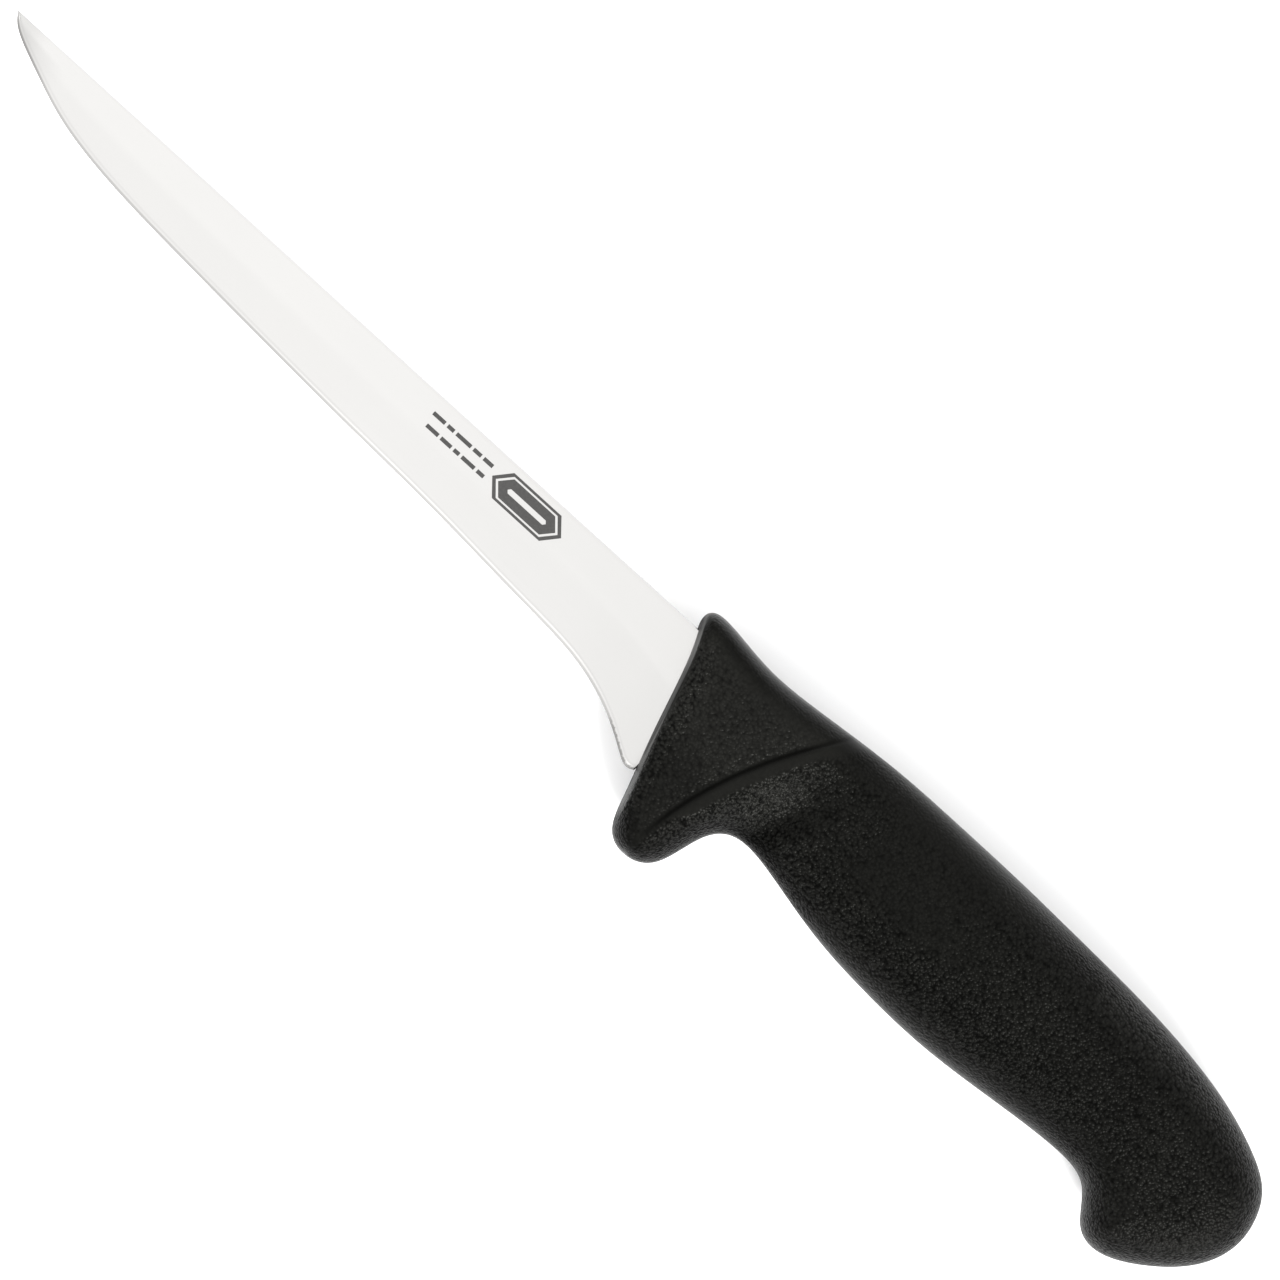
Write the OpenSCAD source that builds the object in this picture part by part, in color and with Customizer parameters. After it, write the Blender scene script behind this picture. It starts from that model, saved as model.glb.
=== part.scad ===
// Boning knife: a stiff, narrow blade with a hidden stick tang, and a handle moulded round the tang.
// The knife lies on its side: +X towards the tip, +Y towards the cutting edge, +Z out of its side.

/* [Blade] */
// Length of the blade from the front of the handle to the tip
blade_len = 150; // [130:5:170]
// Height of the blade from spine to edge, halfway along
blade_h = 14; // [12:0.5:16]
// Thickness of the steel at the heel and along the tang
stock_t = 2.4; // [1.8:0.1:3]
// Thickness of the spine at the tip
tip_t = 1; // [0.8:0.1:1.6]
// Distance from the handle at which the blade starts to thin towards the tip
taper_start = 20; // [5:5:60]
// Share of the blade's height that stays flat below the spine
flat_share = 0.4; // [0.2:0.05:0.6]
// Width of the sharpened bevel
bevel_w = 0.8; // [0.5:0.1:2]
// Thickness of the steel where the bevel starts
bevel_t = 0.4; // [0.3:0.05:0.7]

/* [Tang] */
// Length of the tang behind the front of the handle
tang_len = 96; // [70:1:104]
// Height of the tang where it leaves the blade
tang_h = 15; // [10:0.5:16]
// Height of the tang at its end
tang_end_h = 11; // [8:0.5:14]
// Diameter of the holes that the handle's plastic fills
tang_hole_d = 6; // [3:0.5:7]

/* [Handle] */
// Length of the handle
handle_len = 133; // [120:1:145]
// Thickness of the handle at the palm
handle_w = 22.4; // [18:0.2:26]
// Setback of the front face's edge behind its middle line
front_draft = 0.7; // [0.2:0.1:1.2]
// Width of the rounding behind the front face
front_r = 3.5; // [1.5:0.5:5]
// Height of the rounding behind the front face
front_drop = 1.6; // [0.6:0.1:2.4]

/* [Finger groove] */
// Depth of the crease behind the flat guard panel
crease_d = 0.12; // [0:0.02:0.4]
// Height of the ridge behind the crease, above the guard panel
ridge_h = 0.6; // [0:0.1:1.4]
// Drop from the ridge into the finger groove, at the cutting-edge side
groove_d = 3.2; // [0:0.2:3.6]

/* [Hidden] */

steel = [0.90, 0.90, 0.89];
black = [0.14, 0.14, 0.135];

// Outlines are cubic B-splines. Their points are in knife coordinates: x from the front of the
// handle towards the tip, y from the spine towards the cutting edge. They are drawn for a knife
// of these sizes, and are stretched to fit any others.
drawn_blade_len = 150;
drawn_blade_h = 14;
drawn_handle_len = 133;
// Cutting edge, from the tip to the heel.
EDGE = [
    [150, 0], [148.5, 2.5], [141, 5.5], [132.5, 9], [120, 11],
    [104.5, 12], [85.5, 13], [65, 14], [45, 14.5], [26.5, 16],
    [12, 16.5], [2.5, 19.5], [-3.5, 23], [-6.5, 25], [-8, 24]
];
// Handle, once round: front face, guard lobe, finger side, hook, butt, spine side.
HANDLE = [
    [1, -1.5], [-2, 3], [-5.5, 16.5], [-9.5, 27.5],
    [-11, 34], [-15.5, 36], [-21.5, 34], [-23, 24], [-27.5, 20],
    [-36, 21.5], [-48, 24.5], [-59.5, 25.5], [-73, 26], [-87, 24.5], [-101.5, 23],
    [-108.5, 24], [-111.5, 31], [-117.5, 32], [-125, 27.5],
    [-131, 22], [-134, 14.5], [-131.5, 6], [-126, 2.5],
    [-116.5, -1], [-105, -3], [-94, -4], [-80, -4.5], [-66, -5],
    [-52, -5], [-39.5, -5], [-25, -3.5], [-14.5, -2.5], [-5.5, -4], [0, -4.5]
];
// Where the outline turns its four corners, counted in points of HANDLE.
TOP_FRONT = 33.85;
LOW_FRONT = 3.75;
LOW_BUTT = 19.3;
TOP_BUTT = 20.8;
// Half-thickness of the handle, and how far in the rounding of its two sides reaches, at even
// steps from x = step to the butt.
step = 15;
HALF = [7.3, 7.5, 8.4, 7.8, 8.7, 10.7, 11.5, 11.1, 10.6, 10.7, 10.4, 10.2];
ROUND_SPINE = [3.5, 4, 5, 8, 11, 13, 13, 13, 12, 12, 12, 12];
ROUND_FINGER = [4, 4, 5, 7, 12, 13, 14, 13, 10, 10, 11, 11];
// How far the front face leans back, per millimetre towards the cutting edge.
front_lean = 0.317;
// Length of the handle's surface along x from its front face to the butt.
surface_run = 129;

// Width of the broken corner along the spine.
spine_corner = 0.3;
// Height of the blade's blunt end at the tip.
tip_h = 0.2;
// How far the heel runs on inside the handle.
heel_hidden = [3, 1];
// Distance of the tang's upper side from the spine, and the shoulder between tang and heel.
tang_top = 2;
shoulder_x = [-9, -14];
shoulder_low = 20;
// Places of the tang's holes, as shares of its length.
HOLES = [0.34, 0.82];

// Crease line behind the guard panel: x at the spine, slope and bend towards the cutting edge,
// and the share of a distance along x that is square to the line.
crease_at = -28.1;
crease_slope = 0.683;
crease_bend = 0.0093;
crease_square = 0.9;
// Widths over which the crease dies out in front, and the ridge comes up behind.
crease_front = 1.2;
ridge_run = 0.8;
// Width of the ridge's top, and the drop behind it at the spine.
ridge_w = 2;
groove_spine_d = 0.4;
// Where the finger groove ends, how far it comes up again, and how long that takes.
groove_end = 9;
groove_back = 0.45;
groove_rise = 5;

len_k = handle_len / drawn_handle_len;
blade_cuts = 5;
outline_cuts = 8;
side_cuts_each = 12;
across = 26;
hole_cuts = 48;

// Weights of the four points round a place t, from 0 to 1, on a cubic B-spline.
function weights(t) =
    [(1 - t) ^ 3, 3 * t ^ 3 - 6 * t ^ 2 + 4, -3 * t ^ 3 + 3 * t ^ 2 + 3 * t + 1, t ^ 3] / 6;
// Value at place u on an open B-spline that starts and ends on its end points.
function open_spline(p, u) =
    let(n = len(p), i = min(floor(u), n - 2), w = weights(u - i))
    (i < 1 ? 2 * p[0] - p[1] : p[i - 1]) * w[0] + p[i] * w[1] + p[i + 1] * w[2]
    + (i > n - 3 ? 2 * p[n - 1] - p[n - 2] : p[i + 2]) * w[3];
// Value at place u on a closed B-spline.
function loop_spline(p, u) =
    let(n = len(p), i = floor(u) + n, w = weights(u - floor(u)))
    p[(i - 1) % n] * w[0] + p[i % n] * w[1] + p[(i + 1) % n] * w[2] + p[(i + 2) % n] * w[3];
// Value at x in a list that gives one value every step along the handle.
function along(list, x) = open_spline(list, min(max(1 - x / len_k / step, 0), len(list) - 1.001));
function clamp01(t) = min(max(t, 0), 1);
function ease(t) = let(c = clamp01(t)) c * c * (3 - 2 * c);
// Height of a rounded edge, from 0 to 1, at the share t of its width. It runs out into the face
// without a line.
function soft_round(t) = sqrt(1 - (1 - clamp01(t)) ^ 3);

// ---- blade ----

// Half-thickness of the spine at x.
function spine_half(x) =
    (stock_t - (stock_t - tip_t) * clamp01((x - taper_start) / (blade_len - taper_start))) / 2;
function edge_point(u) =
    let(p = open_spline(EDGE, u))
    [p.x * (p.x > 0 ? blade_len / drawn_blade_len : 1), p.y * blade_h / drawn_blade_h];
// One section of the blade: spine corners, end of the flat, bevel shoulder and edge, then back.
// Corners and bevel shrink with the blade's height at the tip.
function blade_section(p) =
    let(
        h = spine_half(p.x),
        rim = min(spine_corner, p.y * 0.2),
        bevel = min(bevel_w, p.y * 0.4),
        flat_end = p.y * flat_share,
        shoulder = p.y - bevel,
        b = min(bevel_t / 2, h * 0.8),
        side = [[0, h - rim / 2], [rim / 2, h], [flat_end, h], [shoulder, b]]
    )
    concat(
        [for (s = side) [p.x, s.x, s.y]],
        [[p.x, p.y, 0]],
        [for (k = [3:-1:0]) [p.x, side[k].x, -side[k].y]]
    );

// Skin over a row of closed sections, with flat ends.
module loft(sections) {
    n = len(sections[0]);
    m = len(sections);
    polyhedron(
        points = [for (s = sections) each s],
        faces = concat(
            [[for (k = [n - 1:-1:0]) k]],
            [[for (k = [0:n - 1]) (m - 1) * n + k]],
            [for (r = [0:m - 2], k = [0:n - 1])
                let(a = r * n + k, b = r * n + (k + 1) % n)
                each [[a, b, a + n], [b, b + n, a + n]]]
        )
    );
}

module ground_blade() {
    last = len(EDGE) - 1;
    edge = [for (k = [0:last * blade_cuts]) edge_point(last - k / blade_cuts)];
    hidden = edge[0] - heel_hidden;
    tip = [blade_len, tip_h];
    stations = concat([hidden], [for (p = edge) if (p.x < tip.x && p.y > tip.y) p], [tip]);
    loft([for (p = stations) blade_section(p)]);
}

// Tang and its shoulders, up to just inside the handle, without holes.
module tang_plate() {
    translate([0, 0, -stock_t / 2])
        linear_extrude(stock_t)
            polygon([
                [shoulder_x[0], tang_top],
                [shoulder_x[0], shoulder_low],
                [shoulder_x[1], tang_top + tang_h],
                [-tang_len, tang_top + tang_end_h],
                [-tang_len, tang_top]
            ]);
}

module blade_solid() {
    difference() {
        union() {
            ground_blade();
            tang_plate();
        }
        for (share = HOLES)
            translate([-share * tang_len, tang_top + (tang_h + tang_end_h) / 4, -stock_t])
                cylinder(d = tang_hole_d, h = 2 * stock_t, $fn = hole_cuts);
    }
}

// ---- handle ----

function rim(u) = let(p = loop_spline(HANDLE, u)) [p.x * len_k, p.y];
// Table from a share of the way along one side, 0 to 1, to a place on the outline.
// Along a side it goes by distance behind the front face, and along an end by height.
function measure(p, sideways) = sideways ? p.y : p.x + front_lean * p.y;
function chain(a, b, sideways) =
    let(
        n = ceil(abs(b - a) * outline_cuts),
        at = [for (k = [0:n]) a + (b - a) * k / n],
        c = [for (u = at) measure(rim(u), sideways)]
    )
    [for (k = [0:n]) [(c[k] - c[0]) / (c[n] - c[0]), at[k]]];

SPINE_SIDE = chain(TOP_FRONT, TOP_BUTT, false);
FINGER_SIDE = chain(LOW_FRONT, LOW_BUTT, false);
FRONT_END = chain(TOP_FRONT - len(HANDLE), LOW_FRONT, true);
BUTT_END = chain(TOP_BUTT, LOW_BUTT, true);

function rim_at(table, t) = rim(lookup(t, table));

OUTLINE = [for (k = [0:len(HANDLE) * outline_cuts - 1]) rim(k / outline_cuts)];
palm_half = max([for (x = [-80:-60]) along(HALF, x * len_k)]);
mid_x = (blade_len + min([for (p = OUTLINE) p.x])) / 2;
mid_y = (min([for (p = OUTLINE) p.y]) + max([for (p = OUTLINE) p.y])) / 2;

// Distance in front of the crease line; it is below zero behind the line.
function from_crease(x, y) =
    (x - (crease_at + crease_slope * y - crease_bend * y * y)) * crease_square;
// Crease, ridge and finger groove, added to the handle's half-thickness. The crease runs out at
// both ends, the groove deepens towards the cutting edge, and both fade out along the grip.
function relief(x, y) =
    let(
        q = from_crease(x, y),
        reach = ease((y + 5) / 9) * (1 - ease((y - 25) / 8)),
        before = exp(-(q / crease_front) ^ 2),
        crease = -crease_d * (q > 0 ? before : ease(1 + q / ridge_run)) * reach,
        ridge = ridge_h * ease(-q / ridge_run) * (0.15 + 0.85 * reach),
        low = ease((y + 1) / 17),
        depth = groove_spine_d + (groove_d - groove_spine_d) * low,
        drop = depth * ease((-q - ridge_w) / (4 + 4 * low)),
        rise = groove_back * groove_d * low * ease((-q - groove_end) / groove_rise),
        fade = ease((x + 62) / 26)
    )
    crease + (ridge - drop + rise) * fade;

// Drafted front wall with a rounded edge: height share at distance d behind the outline.
function wall(d, half) =
    let(r = front_drop / half)
    d < front_draft
        ? (1 - r) * d / front_draft
        : 1 - r + r * soft_round((d - front_draft) / front_r);

// The outline from the front face's lower end round the butt to its upper end.
side_cuts = ceil((TOP_FRONT - LOW_FRONT) * side_cuts_each);
SIDE = [for (k = [0:side_cuts]) rim(LOW_FRONT + (TOP_FRONT - LOW_FRONT) * k / side_cuts)];
// Distance from a point to that line. No point of the handle is further from it than half_wide.
half_wide = 18;
function from_side(p) =
    min([
        for (k = [1:side_cuts])
            let(a = SIDE[k - 1])
            if (abs(a.x - p.x) < half_wide && abs(a.y - p.y) < half_wide)
                let(w = SIDE[k] - a, t = clamp01((p - a) * w / (w * w)))
                norm(p - a - t * w)
    ]);

// Point on the handle's upper half. u goes from the front to the butt, v from the spine side to
// the finger side.
function handle_point(u, v, ends, front, butt) =
    let(
        p = (1 - u) * front[0] + u * butt[0] + (1 - v) * ends[0] + v * ends[1]
            - (1 - u) * ((1 - v) * front[1] + v * front[2])
            - u * ((1 - v) * butt[1] + v * butt[2]),
        half = along(HALF, p.x) / palm_half * handle_w / 2,
        low = ease(v),
        width = (1 - low) * along(ROUND_SPINE, p.x) + low * along(ROUND_FINGER, p.x),
        lean = [1, front_lean] / norm([1, front_lean])
    )
    [
        p.x,
        p.y,
        (half + relief(p.x / len_k, p.y))
            * soft_round(from_side(p) / width)
            * wall(max((front[0] - p) * lean, 0), half)
    ];

// The rows of points stand close over the front wall, the crease and the hook, and closest at
// the round end of the butt.
module handle_solid() {
    d = front_draft;
    round_end = 8;
    u_list = [
        each [0, d / 2, d, d + 0.1, d + 0.4, d + 1, d + 1.9],
        each [4:1.2:46],
        each [49:3:97],
        each [98.5:1:112],
        each [114:2:120],
        each [for (t = [10:10:90]) surface_run - round_end * (1 - sin(t))]
    ] / surface_run;
    v_list = [for (k = [0:across]) (1 - cos(180 * k / across)) / 2];
    fronts = [for (v = v_list) rim_at(FRONT_END, v)];
    butts = [for (v = v_list) rim_at(BUTT_END, v)];
    grid = [
        for (u = u_list)
            let(ends = [rim_at(SPINE_SIDE, u), rim_at(FINGER_SIDE, u)])
            [for (k = [0:across])
                handle_point(u, v_list[k], ends,
                    [fronts[k], fronts[0], fronts[across]], [butts[k], butts[0], butts[across]])]
    ];
    m = len(u_list);
    n = across + 1;
    // The two halves share the points on the outline, where the height is zero. Each cell is cut
    // along the diagonal that points away from the nearest corner of the grid, so that no
    // triangle lies flat in the outline.
    function on_rim(i, k) = i == 0 || i == m - 1 || k == 0 || k == across;
    function upper(i, k) = i * n + k;
    function lower(i, k) = upper(i, k) + (on_rim(i, k) ? 0 : m * n);
    polyhedron(
        points = [
            for (side = [1, -1], i = [0:m - 1], k = [0:across])
                [grid[i][k].x, grid[i][k].y, on_rim(i, k) ? 0 : grid[i][k].z * side]
        ],
        faces = [
            for (i = [0:m - 2], k = [0:across - 1])
                let(
                    c = [[i, k], [i + 1, k], [i + 1, k + 1], [i, k + 1]],
                    s = (i < m / 2) == (k < across / 2) ? 0 : 1,
                    q = [for (j = [0:3]) c[(j + s) % 4]],
                    up = [for (p = q) upper(p.x, p.y)],
                    low = [for (p = q) lower(p.x, p.y)]
                )
                each [
                    [up[0], up[1], up[2]],
                    [up[0], up[2], up[3]],
                    [low[2], low[1], low[0]],
                    [low[3], low[2], low[0]]
                ]
        ]
    );
}

// ---- pieces ----

module place() {
    translate([-mid_x, -mid_y, handle_w / 2]) children();
}

module blade() {
    color(steel) place() blade_solid();
}

// The handle is moulded round the tang, so it holds the tang's exact shape and fills its holes.
module handle() {
    color(black) place() difference() {
        handle_solid();
        blade_solid();
    }
}

blade();
handle();
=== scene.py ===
"""Boning knife: dense visual blade, handle and etched mark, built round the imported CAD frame."""
import math

import bpy
import numpy as np
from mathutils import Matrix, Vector
from mathutils.geometry import tessellate_polygon


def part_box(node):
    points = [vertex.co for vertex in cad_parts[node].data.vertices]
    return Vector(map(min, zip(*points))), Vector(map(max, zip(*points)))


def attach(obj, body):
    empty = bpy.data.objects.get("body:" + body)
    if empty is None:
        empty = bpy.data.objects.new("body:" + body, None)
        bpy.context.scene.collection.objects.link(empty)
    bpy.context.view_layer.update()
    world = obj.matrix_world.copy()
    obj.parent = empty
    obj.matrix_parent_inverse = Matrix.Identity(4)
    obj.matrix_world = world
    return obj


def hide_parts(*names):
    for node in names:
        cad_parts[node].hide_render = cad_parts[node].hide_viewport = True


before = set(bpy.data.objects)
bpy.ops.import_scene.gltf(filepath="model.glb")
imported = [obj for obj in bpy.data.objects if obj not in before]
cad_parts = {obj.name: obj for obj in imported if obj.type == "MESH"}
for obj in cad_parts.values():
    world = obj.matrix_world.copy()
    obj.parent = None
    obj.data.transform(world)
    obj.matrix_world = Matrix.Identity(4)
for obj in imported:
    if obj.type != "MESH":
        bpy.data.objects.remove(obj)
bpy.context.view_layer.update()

MM = 0.001


# ---------------------------------------------------------------- the knife's own coordinates
# Everything is modelled in millimetres: x from the front of the handle towards the tip, y from the
# spine towards the cutting edge, z up from the blade's middle plane.

blade_low, blade_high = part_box("blade")
handle_low, handle_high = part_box("handle")
BLADE_LEN = 150.0
ORIGIN = Vector((
    blade_high.x - BLADE_LEN * MM,
    blade_low.y,
    (blade_low.z + blade_high.z) / 2,
))
PALM_HALF = (handle_high.z - handle_low.z) / 2 / MM
STOCK_HALF = (blade_high.z - blade_low.z) / 2 / MM


def to_frame(points):
    """Knife millimetres to frame metres."""
    return np.asarray(points, float) * MM + np.array(ORIGIN)


# ---------------------------------------------------------------- splines and small functions

def weights(t):
    """Weights of the four points round a place t, 0 to 1, on a cubic B-spline."""
    return np.stack([
        (1 - t) ** 3,
        3 * t ** 3 - 6 * t ** 2 + 4,
        -3 * t ** 3 + 3 * t ** 2 + 3 * t + 1,
        t ** 3,
    ], -1) / 6


def loop_spline(points, u):
    """Points on a closed cubic B-spline; u counts control points."""
    p = np.asarray(points, float)
    u = np.asarray(u, float)
    first = np.floor(u).astype(int)
    w = weights(u - first)
    return sum(w[..., k:k + 1] * p[(first - 1 + k) % len(p)] for k in range(4))


def open_spline(points, u):
    """Points on an open cubic B-spline that starts and ends on its end points."""
    p = np.asarray(points, float)
    p = p.reshape(len(p), -1)
    p = np.vstack([2 * p[0] - p[1], p, 2 * p[-1] - p[-2]])
    u = np.asarray(u, float)
    first = np.minimum(np.floor(u).astype(int), len(p) - 4)
    w = weights(u - first)
    return sum(w[..., k:k + 1] * p[first + k] for k in range(4))


def along(values, x):
    """Value at x of a list that gives one value every STEP along the handle, the first at x = STEP."""
    place = np.clip(1 - np.asarray(x, float) / STEP, 0, len(values) - 1.001)
    return open_spline(values, place)[..., 0]


def ease(t):
    """Smooth step from 0 to 1."""
    t = np.clip(t, 0, 1)
    return t * t * (3 - 2 * t)


def near(t):
    """A soft peak: 1 where t is 0, dying out on both sides."""
    return np.exp(-t ** 2)


def soft_round(t):
    """Height of a rounded edge, 0 to 1, at the share t of its width. It leaves no line on the face."""
    return np.sqrt(1 - (1 - np.clip(t, 0, 1)) ** 3)


# ---------------------------------------------------------------- shape of the knife

# Cutting edge, from the tip to the heel, as points of a B-spline.
EDGE = [
    (150, 0), (148.5, 2.5), (141, 5.5), (132.5, 9), (120, 11),
    (104.5, 12), (85.5, 13), (65, 14), (45, 14.5), (26.5, 16),
    (12, 16.5), (2.5, 19.5), (-3.5, 23), (-6.5, 25), (-8, 24),
]
# Handle, once round: front face, guard lobe, finger side, hook, butt, spine side.
HANDLE = [
    (1, -1.5), (-2, 3), (-5.5, 16.5), (-9.5, 27.5),
    (-11, 34), (-15.5, 36), (-21.5, 34), (-23, 24), (-27.5, 20),
    (-36, 21.5), (-48, 24.5), (-59.5, 25.5), (-73, 26), (-87, 24.5), (-101.5, 23),
    (-108.5, 24), (-111.5, 31), (-117.5, 32), (-125, 27.5),
    (-131, 22), (-134, 14.5), (-131.5, 6), (-126, 2.5),
    (-116.5, -1), (-105, -3), (-94, -4), (-80, -4.5), (-66, -5),
    (-52, -5), (-39.5, -5), (-25, -3.5), (-14.5, -2.5), (-5.5, -4), (0, -4.5),
]
# Where the outline turns its four corners, counted in points of HANDLE.
TOP_FRONT, LOW_FRONT, LOW_BUTT, TOP_BUTT = 33.85, 3.75, 19.3, 20.8
# Half-thickness of the handle, and how far in the rounding of its two sides reaches, at even steps
# from x = STEP to the butt.
STEP = 15
HALF = [7.3, 7.5, 8.4, 7.8, 8.7, 10.7, 11.5, 11.1, 10.6, 10.7, 10.4, 10.2]
ROUND_SPINE = [3.5, 4, 5, 8, 11, 13, 13, 13, 12, 12, 12, 12]
ROUND_FINGER = [4, 4, 5, 7, 12, 13, 14, 13, 10, 10, 11, 11]
# Front face: how far it leans back per millimetre, its draft, and the rounding behind it.
FRONT_LEAN = 0.317
FRONT_DRAFT = 0.7
FRONT_R = 3.5
FRONT_DROP = 1.6
# Length of the handle's surface from its front face to the butt, and of the round end there.
SURFACE_RUN = 129.0
ROUND_END = 8
# Crease behind the guard panel: x at the spine, slope, bend, and the share of x square to it.
CREASE_AT = -28.1
CREASE_SLOPE = 0.683
CREASE_BEND = 0.0093
CREASE_SQUARE = 0.9
# Depth of the crease, and the width over which it dies out in front.
CREASE_D = 0.12
CREASE_FRONT = 1.2
# Ridge behind the crease: height, width of its slope and width of its top.
RIDGE_H = 0.6
RIDGE_RUN = 0.8
RIDGE_W = 2
# Finger groove behind the ridge: depth at the finger side and at the spine.
GROOVE_D = 3.2
GROOVE_SPINE_D = 0.4
# Where the groove ends, how much of its depth it comes up again, and how long that takes.
GROOVE_END = 9
GROOVE_BACK = 0.45
GROOVE_RISE = 5
# Parting line round the handle: how proud it stands and half its width.
LINE_H = 0.05
LINE_HALF = 0.08

# Blade: where it starts to thin, how thick the spine is at the tip, and the flat's share of its height.
TAPER_START = 20
TIP_T = 1.0
FLAT_SHARE = 0.4
# Sharpened bevel: width, how much narrower it is towards the tip, and the steel's thickness there.
BEVEL_W = 0.8
BEVEL_NARROWING = 0.3
BEVEL_T = 0.4
# Rounding of the spine's corners, and half-thickness of the cutting edge itself.
SPINE_R = 0.2
EDGE_HALF = 0.02
# Height that the blade keeps at the very tip.
TIP_H = 0.12
# Where the heel ends, inside the handle.
HEEL_X = -8

# Tang: distance from the spine, length, heights at its two ends, shoulder and holes.
TANG_TOP = 2
TANG_LEN = 96
TANG_H = 15
TANG_END_H = 11
TANG_SHOULDER = (-9, -14)
SHOULDER_LOW = 20
HOLE_R = 3
HOLES = (0.34, 0.82)

# Etched mark: its middle, and how proud it stands.
MARK_AT = (33.9, 4.1)
MARK_H = 0.01
# Its hexagons, as half-width, half-height and length of the points: a ring's outside and inside, and
# a core and the slot in it.
RING = (7.6, 2.75, 2.4), (6.8, 2.3, 2.05)
CORE = (6.3, 2, 1.8), (4.2, 0.45, 0.4)
# Rows of dashes beside it: x and size, and the dashes' lengths by each row's y.
DASH_START = 42.4
DASH_H = 0.7
DASH_GAP = 0.55
DASH_ROWS = {2.6: (2, 1.7, 3.2, 1.4, 2.6), 4.85: (1.5, 2.8, 1.2, 2.3, 2.6)}


def chain(a, b, sideways):
    """Places on the outline from a to b, and how far along each is, 0 to 1."""
    at = np.linspace(a, b, 2000)
    p = loop_spline(HANDLE, at)
    c = p[:, 1] if sideways else p[:, 0] + FRONT_LEAN * p[:, 1]
    return (c - c[0]) / (c[-1] - c[0]), at


def rim_at(table, t):
    """Outline points at the shares t of one side's length; table comes from chain."""
    return loop_spline(HANDLE, np.interp(t, *table))


def from_crease(x, y):
    """Distance in front of the crease line behind the guard panel; below zero behind it."""
    return (x - (CREASE_AT + CREASE_SLOPE * y - CREASE_BEND * y * y)) * CREASE_SQUARE


def crease_reach(y):
    """How marked the crease is, 0 to 1, at the height y: it runs out towards both ends."""
    return ease((y + 5) / 9) * (1 - ease((y - 25) / 8))


def relief(x, y):
    """Crease, ridge and finger groove, added to the handle's half-thickness. The groove deepens
    towards the cutting edge, and it fades out along the grip with the ridge."""
    q = from_crease(x, y)
    reach = crease_reach(y)
    crease = -CREASE_D * np.where(q > 0, near(q / CREASE_FRONT), ease(1 + q / RIDGE_RUN)) * reach
    ridge = RIDGE_H * ease(-q / RIDGE_RUN) * (0.15 + 0.85 * reach)
    low = ease((y + 1) / 17)
    depth = GROOVE_SPINE_D + (GROOVE_D - GROOVE_SPINE_D) * low
    drop = depth * ease((-q - RIDGE_W) / (4 + 4 * low))
    rise = GROOVE_BACK * GROOVE_D * low * ease((-q - GROOVE_END) / GROOVE_RISE)
    fade = ease((x + 62) / 26)
    return crease + (ridge - drop + rise) * fade


def wall(d, half):
    """Drafted front wall with a rounded edge: share of the height at distance d behind the outline."""
    r = FRONT_DROP / half
    return np.where(
        d < FRONT_DRAFT,
        (1 - r) * d / FRONT_DRAFT,
        1 - r + r * soft_round((d - FRONT_DRAFT) / FRONT_R),
    )


def from_side(points, side):
    """Distance from each point to the line of points called side."""
    start, along_it = side[:-1], np.diff(side, axis=0)
    length = (along_it ** 2).sum(1)
    nearest = []
    for p in points:
        away = p[:, None] - start
        share = np.clip((away * along_it).sum(2) / length, 0, 1)
        away -= share[..., None] * along_it
        nearest.append(np.sqrt((away ** 2).sum(2).min(1)))
    return np.array(nearest)


def handle_grid(u, v):
    """Upper half of the handle as a grid of points, and each point's distance from the outline. u
    goes from the front to the butt, v from the spine side to the finger side."""
    a = rim_at(chain(TOP_FRONT, TOP_BUTT, False), u)
    b = rim_at(chain(LOW_FRONT, LOW_BUTT, False), u)
    front = rim_at(chain(TOP_FRONT - len(HANDLE), LOW_FRONT, True), v)
    butt = rim_at(chain(TOP_BUTT, LOW_BUTT, True), v)
    # Surface that blends the four sides of the outline.
    uu, vv = u[:, None, None], v[None, :, None]
    p = (
        (1 - uu) * front[None] + uu * butt[None] + (1 - vv) * a[:, None] + vv * b[:, None]
        - (1 - uu) * ((1 - vv) * front[0] + vv * front[-1])
        - uu * ((1 - vv) * butt[0] + vv * butt[-1])
    )
    x, y = p[..., 0], p[..., 1]
    palm = along(HALF, np.linspace(-80, -60, 200)).max()
    half = along(HALF, x) / palm * PALM_HALF
    lean = np.array([1, FRONT_LEAN]) / math.hypot(1, FRONT_LEAN)
    side = loop_spline(HANDLE, np.linspace(LOW_FRONT, TOP_FRONT, 1400))
    low = ease(v)[None]
    width = (1 - low) * along(ROUND_SPINE, x) + low * along(ROUND_FINGER, x)
    inside = from_side(p, side)
    z = (
        (half + relief(x, y))
        * soft_round(inside / width)
        * wall(np.maximum((front[None] - p) @ lean, 0), half)
    )
    z[0] = z[-1] = 0
    z[:, 0] = z[:, -1] = 0
    return np.dstack([p, z]), inside


# ---------------------------------------------------------------- mesh helpers

def new_piece(name, points, faces, material):
    """Mesh object with one material, which rides on the root body."""
    mesh = bpy.data.meshes.new(name)
    mesh.from_pydata([tuple(p) for p in points], [], faces)
    mesh.validate()
    mesh.shade_smooth()
    piece = bpy.data.objects.new(name, mesh)
    bpy.context.scene.collection.objects.link(piece)
    piece.data.materials.append(material)
    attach(piece, "root")
    return piece


def node(tree, kind, inputs=None, **settings):
    """Adds a shader node, sets its properties, and sets or links its inputs."""
    made = tree.nodes.new(kind)
    for key, value in settings.items():
        setattr(made, key, value)
    for key, value in (inputs or {}).items():
        if isinstance(value, bpy.types.NodeSocket):
            tree.links.new(value, made.inputs[key])
        else:
            made.inputs[key].default_value = value
    return made


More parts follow.
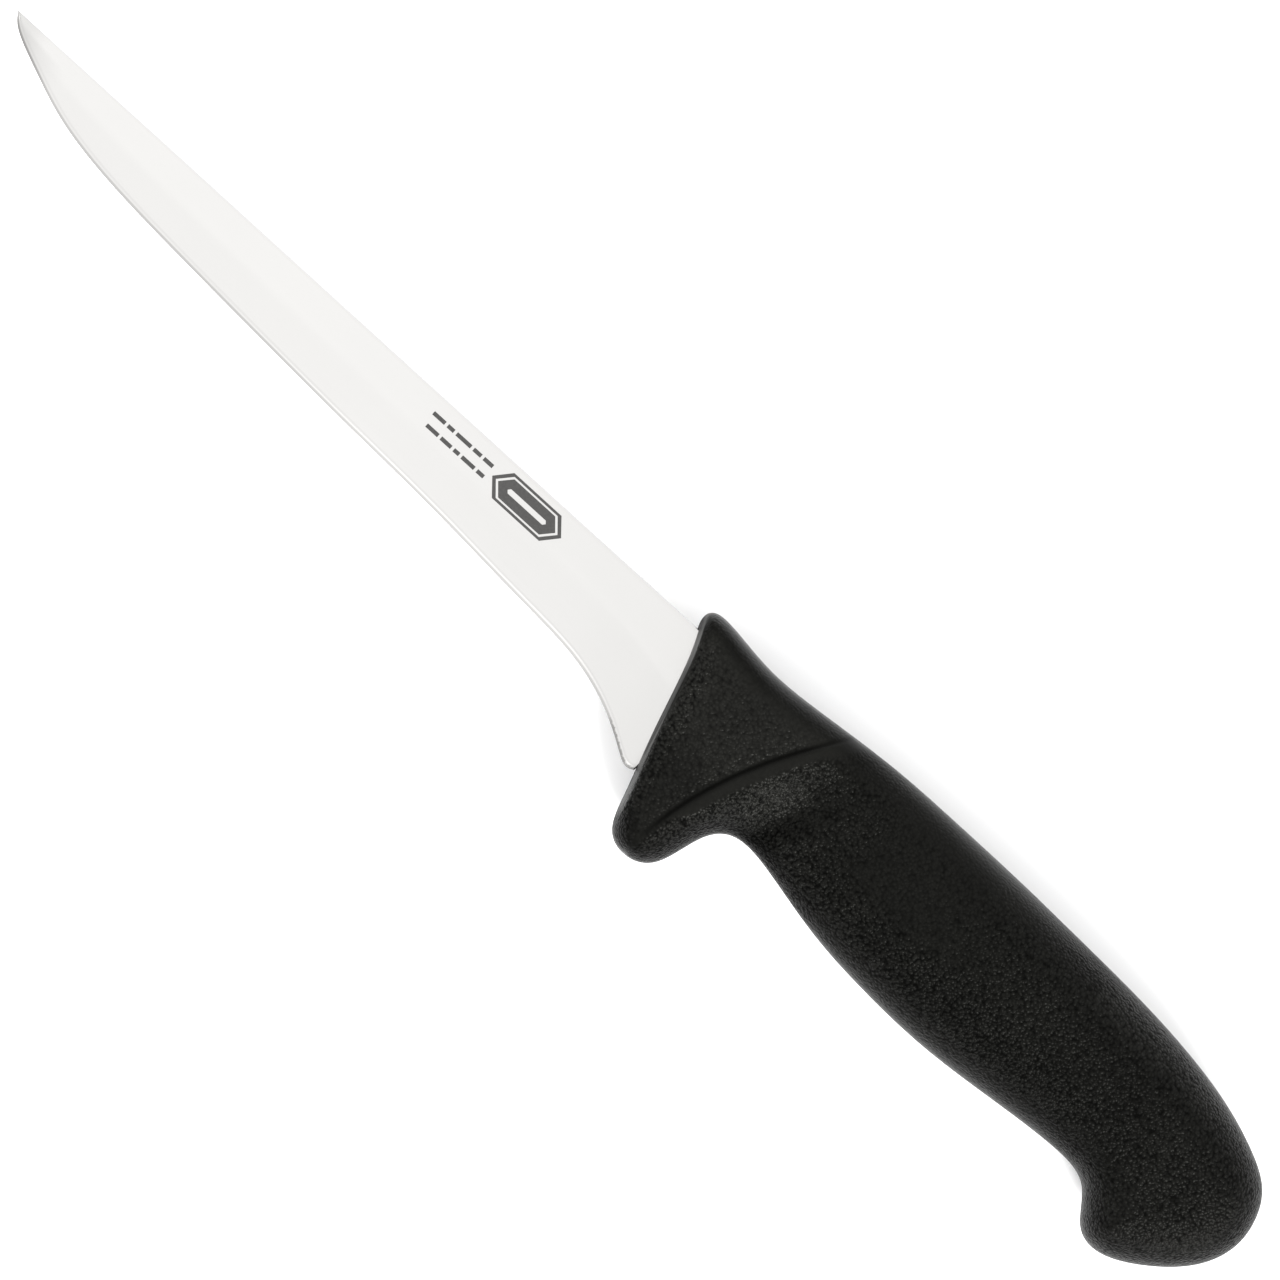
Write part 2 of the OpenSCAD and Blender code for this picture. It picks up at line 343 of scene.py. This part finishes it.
def new_material(name):
    """Empty material with a Principled shader joined to its output."""
    material = bpy.data.materials.new(name)
    material.use_nodes = True
    tree = material.node_tree
    tree.nodes.clear()
    shader = node(tree, "ShaderNodeBsdfPrincipled")
    node(tree, "ShaderNodeOutputMaterial", {"Surface": shader.outputs["BSDF"]})
    return material, tree, shader


# ---------------------------------------------------------------- materials

def plastic():
    """Black moulded plastic with a pebble grain. The mesh's "grain" attribute is the strength of
    the grain, and its "light" attribute is painted light and shade, which scales both the colour and
    the sheen."""
    material, tree, shader = new_material("black_moulded_plastic")
    place = node(tree, "ShaderNodeTexCoord").outputs["Object"]
    amount = node(tree, "ShaderNodeAttribute", attribute_name="grain").outputs["Fac"]
    light = node(tree, "ShaderNodeAttribute", attribute_name="light").outputs["Fac"]
    sway = node(tree, "ShaderNodeTexNoise", {"Vector": place, "Scale": 900.0, "Detail": 1.0})
    bent = node(tree, "ShaderNodeMixRGB", {
        "Fac": 0.0006, "Color1": place, "Color2": sway.outputs["Color"],
    })
    cells = node(tree, "ShaderNodeTexVoronoi", {"Vector": bent.outputs["Color"], "Scale": 1900.0})
    worms = node(tree, "ShaderNodeTexNoise", {"Vector": place, "Scale": 1700.0, "Detail": 2.0})
    grain = node(tree, "ShaderNodeMath", {
        0: cells.outputs["Distance"], 1: worms.outputs["Fac"],
    }, operation="SUBTRACT")
    height = node(tree, "ShaderNodeMath", {0: grain.outputs[0], 1: amount}, operation="MULTIPLY")
    bump = node(tree, "ShaderNodeBump", {
        "Strength": 1.0, "Distance": 0.0002, "Height": height.outputs[0],
    }, invert=True)
    tone = node(tree, "ShaderNodeTexNoise", {"Vector": place, "Scale": 120.0, "Detail": 3.0})
    raised = node(tree, "ShaderNodeMapRange", {
        "Value": height.outputs[0],
        "From Min": -0.25, "From Max": 0.35, "To Min": 1.0, "To Max": 0.0,
    })
    # Lighter colour and more sheen where the grain is weak.
    smooth_lift = node(tree, "ShaderNodeMapRange", {"Value": amount, "To Min": 0.3, "To Max": 0.0})
    lift = node(tree, "ShaderNodeMath", {0: raised.outputs["Result"], 1: smooth_lift.outputs["Result"]})
    # Painted light and shade: the "light" attribute scales the colour here and the sheen below.
    lit = node(tree, "ShaderNodeMath", {0: lift.outputs[0], 1: light}, operation="MULTIPLY")
    shade = node(tree, "ShaderNodeMath", {
        0: lit.outputs[0], 1: tone.outputs["Fac"],
    }, operation="MULTIPLY")
    colour = node(tree, "ShaderNodeValToRGB", {"Fac": shade.outputs[0]})
    colour.color_ramp.elements[0].color = (0.001, 0.001, 0.0009, 1)
    colour.color_ramp.elements[1].color = (0.0043, 0.0043, 0.0036, 1)
    rough = node(tree, "ShaderNodeMapRange", {"Value": amount, "To Min": 0.3, "To Max": 0.4})
    sheen = node(tree, "ShaderNodeMapRange", {
        "Value": lift.outputs[0], "To Min": 0.018, "To Max": 0.076,
    })
    gloss = node(tree, "ShaderNodeMath", {0: sheen.outputs["Result"], 1: light}, operation="MULTIPLY")
    shader.inputs["Specular Tint"].default_value = (1, 1, 0.93, 1)
    tree.links.new(colour.outputs["Color"], shader.inputs["Base Color"])
    tree.links.new(rough.outputs["Result"], shader.inputs["Roughness"])
    tree.links.new(gloss.outputs[0], shader.inputs["Specular IOR Level"])
    tree.links.new(bump.outputs["Normal"], shader.inputs["Normal"])
    return material


def steel():
    """Satin stainless steel with fine lengthwise grinding lines. The mesh's "tone" attribute
    scales its colour: painted shade along the spine, the grind, the bevel's shoulder, the cutting edge
    and near the tip, painted light growing towards the tip, and a darker heel."""
    material, tree, shader = new_material("satin_steel")
    place = node(tree, "ShaderNodeTexCoord").outputs["Object"]
    stretch = node(tree, "ShaderNodeMapping", {"Vector": place, "Scale": (30.0, 4000.0, 4000.0)})
    lines = node(tree, "ShaderNodeTexNoise", {
        "Vector": stretch.outputs["Vector"], "Scale": 1.0, "Detail": 3.0,
    }).outputs["Fac"]
    rough = node(tree, "ShaderNodeMapRange", {"Value": lines, "To Min": 0.17, "To Max": 0.25})
    bump = node(tree, "ShaderNodeBump", {"Strength": 0.15, "Distance": 0.00002, "Height": lines})
    tree.links.new(rough.outputs["Result"], shader.inputs["Roughness"])
    tree.links.new(bump.outputs["Normal"], shader.inputs["Normal"])
    # Painted light and shade, from the mesh's "tone" attribute, scale the steel's colour.
    tone = node(tree, "ShaderNodeAttribute", attribute_name="tone").outputs["Fac"]
    blotch = node(tree, "ShaderNodeTexNoise", {"Vector": place, "Scale": 60.0, "Detail": 2.0})
    fleck = node(tree, "ShaderNodeMapRange", {
        "Value": blotch.outputs["Fac"], "To Min": 0.985, "To Max": 1.015,
    })
    level = node(tree, "ShaderNodeMath", {0: tone, 1: fleck.outputs["Result"]}, operation="MULTIPLY")
    colour = node(tree, "ShaderNodeValToRGB", {"Fac": level.outputs[0]})
    colour.color_ramp.elements[0].color = (0.05, 0.049, 0.047, 1)
    colour.color_ramp.elements[1].color = (0.574, 0.568, 0.558, 1)
    tree.links.new(colour.outputs["Color"], shader.inputs["Base Color"])
    shader.inputs["Metallic"].default_value = 1.0
    # Steel reflects less than a plain metal at a low angle.
    shader.inputs["Specular Tint"].default_value = (0.6, 0.6, 0.6, 1)
    return material


def etching():
    """Dark etched steel, slightly mottled."""
    material, tree, shader = new_material("dark_etching")
    place = node(tree, "ShaderNodeTexCoord").outputs["Object"]
    mottle = node(tree, "ShaderNodeTexNoise", {"Vector": place, "Scale": 2500.0, "Detail": 2.0})
    colour = node(tree, "ShaderNodeValToRGB", {"Fac": mottle.outputs["Fac"]})
    colour.color_ramp.elements[0].color = (0.025, 0.0243, 0.0237, 1)
    colour.color_ramp.elements[1].color = (0.047, 0.0458, 0.0443, 1)
    bump = node(tree, "ShaderNodeBump", {
        "Strength": 0.4, "Distance": 0.00002, "Height": mottle.outputs["Fac"],
    })
    tree.links.new(colour.outputs["Color"], shader.inputs["Base Color"])
    tree.links.new(bump.outputs["Normal"], shader.inputs["Normal"])
    shader.inputs["Roughness"].default_value = 0.6
    shader.inputs["Specular IOR Level"].default_value = 0.3
    return material


# ---------------------------------------------------------------- pieces

def grid_distances(grid):
    """How far each point of the handle's grid is from its front, its spine side and its finger side."""
    flat = grid[..., :2]
    sides = flat[:1], flat[:, :1], flat[:, -1:]
    return [np.linalg.norm(flat - side, axis=2) for side in sides]


def grain_amount(grid):
    """How strong the moulded grain is, from 0, at each point of the handle's grid. A zone's borders
    are soft steps, each with the place where it starts and its width in millimetres."""
    x, y = grid[..., 0], grid[..., 1]
    q = from_crease(x, y)
    behind_front, from_spine, from_finger = grid_distances(grid)
    panel = (0.45 + 0.45 * (1 - ease((behind_front - 3) / 2.5))) * ease((q + 0.3) / 1.0)
    band = 1.8 * (1 - ease((y - 22) / 5))
    grip = (0.75 + 0.4 * ease((y - 11) / 6) * ease((x + 105) / 10)) * ease((-q - band) / 1.5)
    amount = 0.12 + panel + grip
    on_grip = ease((-42 - x) / 6) * ease((x + 102) / 6)
    spine_band = (1 - ease((from_spine - 3) / 4)) * ease((x + 90) / 20)
    finger_band = (1 - ease((from_finger - 2) / 3)) * on_grip
    fine = ease((x + 74) / 14) * on_grip * (1 - ease((y - 12) / 5))
    amount = amount * (1 - 0.6 * spine_band) * (1 - 0.5 * finger_band) * (1 - 0.35 * fine)
    return amount * ease((behind_front - 0.6) / 1.2)


def painted_light_share(grid, inside):
    """Share of the usual colour and sheen at each point, as painted light and shade: painted shade in
    the crease, on the front wall beside the blade, along the outline, along the finger side and on the
    rear of the grip, and painted light on the guard panel and its front strip, the ridge, the finger
    scoop, the rear's upper side and the hook."""
    x, y = grid[..., 0], grid[..., 1]
    q = from_crease(x, y)
    behind_front, _, from_finger = grid_distances(grid)
    # Painted shade: a dark line along the crease.
    line = near((q + 0.1) / 0.4) * crease_reach(y)
    # Painted highlight in the finger scoop.
    scoop_highlight = ease((-q - 2) / 3) * ease((11 + q) / 4) * ease((y - 6) / 7)
    # Painted light on the guard panel, most on its upper part, and on a strip along its front.
    panel = ease(q) * (1 - 0.7 * ease((y - 12) / 8))
    strip = ease(q) * (1 - ease((behind_front - 3) / 2.5))
    # Painted shade on the front wall, most beside the blade, with a thin painted highlight along it.
    wall_zone = 1 - ease((behind_front - FRONT_DRAFT) / 0.4)
    beside_blade = ease((y - 1) / 6) * (1 - ease((y - 20.5) / 1.5))
    streak = near((behind_front - 0.4) / 0.15)
    on_wall = (1 - 0.85 * beside_blade) * (0.4 + 0.6 * streak)
    # Painted shade along the outline.
    rim = ease((inside + 0.1) / 0.5) * (1 - ease((inside - 1) / 3.5))
    # Painted light on the ridge behind the crease.
    ridge = ease(-q / RIDGE_RUN) * (1 - ease((-q - RIDGE_W) / 2))
    # Painted shade along the finger side of the grip and on its rear, painted light on the rear's upper
    # side and on the hook.
    hollow = near((from_finger - 6.5) / 1.8) * ease((-50 - x) / 6) * ease((x + 92) / 8)
    upper = 1 - ease((y - 1) / 4)
    rear = ease((-85 - x) / 8)
    hook = ease((-104 - x) / 5) * ease((x + 118) / 6)
    hook *= ease((y - 20) / 5) * (1 - ease((y - 30) / 2))
    grip = (1 - upper) * (0.1 * ease((-58 - x) / 12) + 0.1 * rear) * ease((x + 115) / 8)
    front = (
        (1 - 0.75 * line) * (1 + 0.7 * scoop_highlight) * (1 + 0.6 * panel + 0.2 * strip)
        * (1 + 0.3 * ridge) * (1 - wall_zone + wall_zone * on_wall)
    )
    back = (1 - 0.25 * hollow) * (1 - grip) * (1 + 0.4 * rear * upper) * (1 + 0.25 * hook)
    return front * back * (1 - (0.35 + 0.35 * ease((x + 42) / 12)) * rim)


def outline_normals(ring):
    """Outward normals, in the plane, of a closed ring of points that runs round the handle."""
    step = np.roll(ring, -1, 0) - np.roll(ring, 1, 0)
    normal = np.stack([step[:, 1], -step[:, 0]], 1)
    normal /= np.linalg.norm(normal, axis=1)[:, None]
    outward = ((ring - ring.mean(0)) * normal).sum() > 0
    return normal if outward else -normal


def handle_stations():
    """Rows and columns of the handle's grid: close over the front wall and the crease, and closing
    up towards the butt and the two sides."""
    fine = np.linspace(0, 1, 12) ** 1.5
    wall_end, crease_zone, butt = FRONT_DRAFT + 1.4, (7, 35), SURFACE_RUN - ROUND_END
    u = np.unique(np.concatenate([
        fine * FRONT_DRAFT,
        FRONT_DRAFT + 1.4 * fine,
        np.linspace(wall_end, crease_zone[0], 15),
        np.linspace(*crease_zone, 125),
        np.linspace(crease_zone[1], butt, 170),
        butt + ROUND_END * np.sin(np.linspace(0, math.pi / 2, 26)),
    ]))
    return u / SURFACE_RUN, (1 - np.cos(np.linspace(0, math.pi, 121))) / 2


def stand_back(grid):
    """Makes room for the parting line: the rest of the surface stands back from the outline."""
    flat = grid[..., :2]
    low, high = flat.min((0, 1)), flat.max((0, 1))
    centre, size = (low + high) / 2, high - low
    grid[..., :2] = centre + (flat - centre) * (1 - 2 * LINE_H / size)
    lift = LINE_HALF + LINE_H / 2
    grid[..., 2] = lift + grid[..., 2] * (1 - lift / grid[..., 2].max())


def make_handle():
    """The moulding: two mirrored halves joined by the parting line."""
    grid, inside = handle_grid(*handle_stations())
    stand_back(grid)
    m, n = grid.shape[:2]
    upper = np.arange(m * n).reshape(m, n)
    lower = upper + m * n
    ring = np.concatenate([upper[:, 0], upper[-1, 1:], upper[-2::-1, -1], upper[0, -2:0:-1]])
    count = len(ring)
    edge = grid.reshape(-1, 3)[ring, :2]
    proud = edge + LINE_H * outline_normals(edge)
    start = 2 * m * n
    bands = [
        ring,
        start + np.arange(count),
        start + count + np.arange(count),
        ring + m * n,
    ]
    faces = []
    for ids, turn in ((upper, 1), (lower, -1)):
        quads = np.stack([ids[:-1, :-1], ids[1:, :-1], ids[1:, 1:], ids[:-1, 1:]], -1).reshape(-1, 4)
        faces += quads[:, ::turn].tolist()
    for a, b in zip(bands, bands[1:]):
        faces += np.stack([a, b, np.roll(b, -1), np.roll(a, -1)], -1).tolist()
    points = np.vstack([
        grid.reshape(-1, 3),
        (grid * (1, 1, -1)).reshape(-1, 3),
        np.column_stack([proud, np.full(count, LINE_HALF)]),
        np.column_stack([proud, np.full(count, -LINE_HALF)]),
    ])
    piece = new_piece("handle_moulding", to_frame(points), faces, plastic())
    grain = grain_amount(grid).ravel()
    light = painted_light_share(grid, inside).ravel()
    # Stored as mesh attributes: the grain, and the painted light and shade.
    for name, value, rim in (("grain", grain, 0.1), ("light", light, 1.0)):
        values = np.concatenate([value, value, np.full(2 * count, rim)])
        piece.data.attributes.new(name, "FLOAT", "POINT").data.foreach_set("value", values)
    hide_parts("handle")


def spine_half(x):
    """Half-thickness of the blade's spine at x."""
    share = np.clip((x - TAPER_START) / (BLADE_LEN - TAPER_START), 0, 1)
    return (2 * STOCK_HALF - (2 * STOCK_HALF - TIP_T) * share) / 2


def edge_line(x):
    """Distance of the cutting edge from the spine line at x."""
    p = open_spline(EDGE, np.linspace(0, len(EDGE) - 1, 3000))
    return np.maximum(np.interp(x, p[::-1, 0], p[::-1, 1]), TIP_H)


def blade_rows(x, deep):
    """One section of the blade's upper side, from the middle of the spine to the middle of the edge."""
    h = spine_half(x)
    small = min(1.0, deep / 3)
    arc = np.linspace(0, math.pi / 2, 6)
    r = SPINE_R * small
    bevel = min(BEVEL_W - BEVEL_NARROWING * float(ease((x - 50) / 60)), deep * 0.4)
    shoulder = deep - bevel
    at_shoulder = min(BEVEL_T / 2, h * 0.8)
    flat_end = max(deep * FLAT_SHARE, r * 1.5)
    rows = [(0, 0)] + [(r - r * math.cos(t), h - r + r * math.sin(t)) for t in arc]
    # The grind leaves the flat without a hard line.
    slope = (h - at_shoulder) / (shoulder - flat_end)
    blend = min(1.5, (shoulder - flat_end) / 3, (flat_end - r) / 2)
    rows += [(y, h) for y in np.linspace(r, flat_end - blend, 8)[1:-1]]
    for t in np.linspace(-1, 1, 9):
        rows.append((flat_end + t * blend, h - slope * blend * ((t + 1) / 2) ** 2))
    above = shoulder - 0.7 * small
    ground = [*np.linspace(flat_end + blend, above, 7)[1:], *np.linspace(above, shoulder, 6)[1:-1]]
    rows += [(y, h - slope * (y - flat_end)) for y in ground]
    crisp = 0.03 * small
    drop = (at_shoulder - EDGE_HALF) / bevel
    rows.append((shoulder - crisp, at_shoulder + slope * crisp))
    rows.append((shoulder, at_shoulder))
    rows += [(shoulder + d, at_shoulder - drop * d) for d in np.linspace(crisp, bevel - crisp, 9)]
    rows += [(deep, EDGE_HALF), (deep, 0)]
    return rows


def blade_shade_and_tone(x, y, deep):
    """Share of full brightness at each point of the blade, whose edge is at the distance deep: painted
    light and shade that stand in for the steel's reflections, with a darker ragged heel.
    """
    # Painted shade near the tip.
    tip = ease((x - 136) / 8) * ease((y - 0.3 * deep) / 1)
    tip_end = ease((x - 142) / 5)
    # Painted shade: a dark line along the cutting edge and a darker line at the bevel's shoulder.
    edge = ease((y - deep + 0.6) / 0.25)
    shoulder = near((y - deep + BEVEL_W + 0.1) / 0.2)
    # A darker ragged strip along the heel's edge.
    ragged = 0.5 + 0.12 * np.sin(5.3 * x) + 0.1 * np.sin(11.7 * x + 1)
    heel = ease((2 - x) / 3) * ease((y - deep + ragged) / 0.15)
    # Painted shade along the spine and over the grind.
    spine = 1 - ease(y / 0.3)
    grind = ease((y - FLAT_SHARE * deep) / 2) * (0.055 - 0.015 * ease(x / 60))
    # Painted light: brighter towards the tip.
    tone = (0.936 + 0.06 * ease(x / 90)) * (1 - grind) * (1 - 0.08 * shoulder)
    tone *= (1 - 0.1 * tip) * (1 - 0.12 * tip_end) * (1 - (0.32 + 0.2 * tip) * edge)
    return tone * (1 - 0.45 * heel) * (1 - 0.1 * spine)


def set_tone(piece, tone):
    """Stores the brightness that the steel's material reads."""
    piece.data.attributes.new("tone", "FLOAT", "POINT").data.foreach_set("value", tone)


def make_blade():
    """The ground blade, as a skin over sections that stand closer at the heel and the tip."""
    near_heel, near_tip = 4, 140
    x_list = np.concatenate([
        np.linspace(HEEL_X, near_heel - 0.2, 60),
        np.linspace(near_heel, near_tip, 341),
        BLADE_LEN - (BLADE_LEN - near_tip) * np.linspace(1, 0, 60)[1:] ** 1.4,
    ])
    deep_list = edge_line(x_list)
    sections = []
    for x, deep in zip(x_list, deep_list):
        rows = blade_rows(x, deep)
        top = [(x, y, z) for y, z in rows]
        low = [(x, y, -z) for y, z in rows[-2:0:-1]]
        sections.append(top + low)
    n = len(sections[0])
    points = np.concatenate(sections)
    faces = [list(range(n)), list(range(len(points) - n, len(points)))[::-1]]
    for r in range(len(sections) - 1):
        for k in range(n):
            a, b = r * n + k, r * n + (k + 1) % n
            faces.append([a, a + n, b + n, b])
    piece = new_piece("ground_blade", to_frame(points), faces, STEEL)
    set_tone(piece, blade_shade_and_tone(points[:, 0], points[:, 1], np.repeat(deep_list, n)))
    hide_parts("blade")


def make_tang():
    """The plate inside the handle, with its two holes."""
    loops = [[
        (TANG_SHOULDER[0], TANG_TOP),
        (TANG_SHOULDER[0], SHOULDER_LOW),
        (TANG_SHOULDER[1], TANG_TOP + TANG_H),
        (-TANG_LEN, TANG_TOP + TANG_END_H),
        (-TANG_LEN, TANG_TOP),
    ]]
    hole_y = TANG_TOP + (TANG_H + TANG_END_H) / 4
    for share in HOLES:
        loops.append([
            (-share * TANG_LEN + HOLE_R * math.cos(t), hole_y - HOLE_R * math.sin(t))
            for t in np.linspace(0, 2 * math.pi, 48, endpoint=False)
        ])
    flat = [p for loop in loops for p in loop]
    triangles = tessellate_polygon([[Vector((x, y, 0)) for x, y in loop] for loop in loops])
    count = len(flat)
    h = STOCK_HALF
    points = [(x, y, h) for x, y in flat] + [(x, y, -h) for x, y in flat]
    faces = [list(t) for t in triangles] + [[k + count for k in t[::-1]] for t in triangles]
    start = 0
    for loop in loops:
        size = len(loop)
        for k in range(size):
            a, b = start + k, start + (k + 1) % size
            faces.append([a, b, b + count, a + count])
        start += size
    piece = new_piece("tang_plate", to_frame(points), faces, STEEL)
    set_tone(piece, np.ones(len(points)))
    piece.data.shade_flat()
    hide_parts("blade")


def blade_surface(x, y):
    """Height of the blade's upper side."""
    rows = blade_rows(x, float(edge_line(x)))
    return float(np.interp(y, [r[0] for r in rows[:-1]], [r[1] for r in rows[:-1]]))


def make_mark():
    """A plain etched mark: a long hexagon with a bar in it, and two rows of dashes."""
    points, faces = [], []

    def patch(corners, nu, nv):
        """A thin four-sided plate that follows the steel, its corners in order round it."""
        a, b, c, d = (np.array(k, float) for k in corners)
        start = len(points)
        for lift in (MARK_H, -MARK_H):
            for i in range(nu + 1):
                for j in range(nv + 1):
                    s, t = i / nu, j / nv
                    p = (1 - s) * (1 - t) * a + s * (1 - t) * b + s * t * c + (1 - s) * t * d
                    points.append((p[0], p[1], blade_surface(p[0], p[1]) + lift))
        n = nv + 1
        size = (nu + 1) * n
        for i in range(nu):
            for j in range(nv):
                k = start + i * n + j
                faces.append([k, k + n, k + n + 1, k + 1])
                faces.append([k + size, k + size + 1, k + size + n + 1, k + size + n])
        rim = [i * n for i in range(nu + 1)] + [nu * n + j for j in range(1, n)]
        rim += [i * n + nv for i in range(nu - 1, -1, -1)] + list(range(nv - 1, 0, -1))
        for k, m in zip(rim, rim[1:] + rim[:1]):
            faces.append([start + k, start + m, start + m + size, start + k + size])

    def hexagon(half_w, half_h, point):
        """Corners of a hexagon that is pointed at both ends."""
        x, y = MARK_AT
        return [
            (x + half_w, y), (x + half_w - point, y + half_h), (x - half_w + point, y + half_h),
            (x - half_w, y), (x - half_w + point, y - half_h), (x + half_w - point, y - half_h),
        ]

    for (outside, inside), cuts in ((RING, 2), (CORE, 6)):
        a, b = hexagon(*outside), hexagon(*inside)
        for k in range(6):
            m = (k + 1) % 6
            patch([a[k], a[m], b[m], b[k]], 12, cuts)
    for y, dashes in DASH_ROWS.items():
        x = DASH_START
        for length in dashes:
            patch([(x, y), (x + length, y), (x + length, y + DASH_H), (x, y + DASH_H)], 4, 2)
            x += length + DASH_GAP
    piece = new_piece("etched_mark", to_frame(points), faces, etching())
    piece.data.shade_flat()


# ---------------------------------------------------------------- studio

def make_floor():
    """A plain pale square, 6 metres wide."""
    half = 3.0
    corners = [(-half, -half, 0), (half, -half, 0), (half, half, 0), (-half, half, 0)]
    mesh = bpy.data.meshes.new("floor")
    mesh.from_pydata(corners, [], [(0, 1, 2, 3)])
    floor = bpy.data.objects.new("floor", mesh)
    bpy.context.scene.collection.objects.link(floor)
    material, _, shader = new_material("pale_floor")
    shader.inputs["Base Color"].default_value = (0.97, 0.97, 0.97, 1)
    shader.inputs["Roughness"].default_value = 0.8
    mesh.materials.append(material)


def make_light(name, azimuth, elevation, distance, size, power):
    """A round soft light, placed by its direction from the knife in degrees."""
    data = bpy.data.lights.new(name, "AREA")
    data.shape = "DISK"
    data.size = size
    data.energy = power
    a, e = math.radians(azimuth), math.radians(elevation)
    away = Vector((math.cos(a) * math.cos(e), math.sin(a) * math.cos(e), math.sin(e)))
    light = bpy.data.objects.new(name, data)
    light.location = away * distance
    light.rotation_mode = "QUATERNION"
    light.rotation_quaternion = away.to_track_quat("Z", "Y")
    bpy.context.scene.collection.objects.link(light)


def make_studio():
    """Even white light all round, with a soft key light and a weak light over the cutting edge."""
    world = bpy.data.worlds.new("studio")
    world.use_nodes = True
    background = world.node_tree.nodes["Background"]
    background.inputs["Color"].default_value = (1, 1, 1, 1)
    background.inputs["Strength"].default_value = 1.6
    bpy.context.scene.world = world
    bpy.context.scene.view_settings.view_transform = "Standard"
    make_light("key", 152, 36, 2.5, 0.95, 94)
    make_light("edge", 90, 66, 1.3, 0.35, 0.2)


def make_camera():
    """Straight down on the knife's side, turned so that the tip is at the upper left."""
    data = bpy.data.cameras.new("camera")
    data.lens = 200
    data.sensor_width = 36
    # Width of what the camera sees at the blade's middle plane.
    span = 209.15 * MM
    camera = bpy.data.objects.new("camera", data)
    aim = to_frame((5.6, 7.7, 0))
    camera.location = (aim[0], aim[1], aim[2] + span * data.lens / data.sensor_width)
    camera.rotation_euler = (0, 0, math.radians(222.32))
    data.clip_start, data.clip_end = 0.05, 20
    bpy.context.scene.collection.objects.link(camera)
    bpy.context.scene.camera = camera


STEEL = steel()
make_camera()
make_studio()
make_floor()
make_blade()
make_tang()
make_mark()
make_handle()
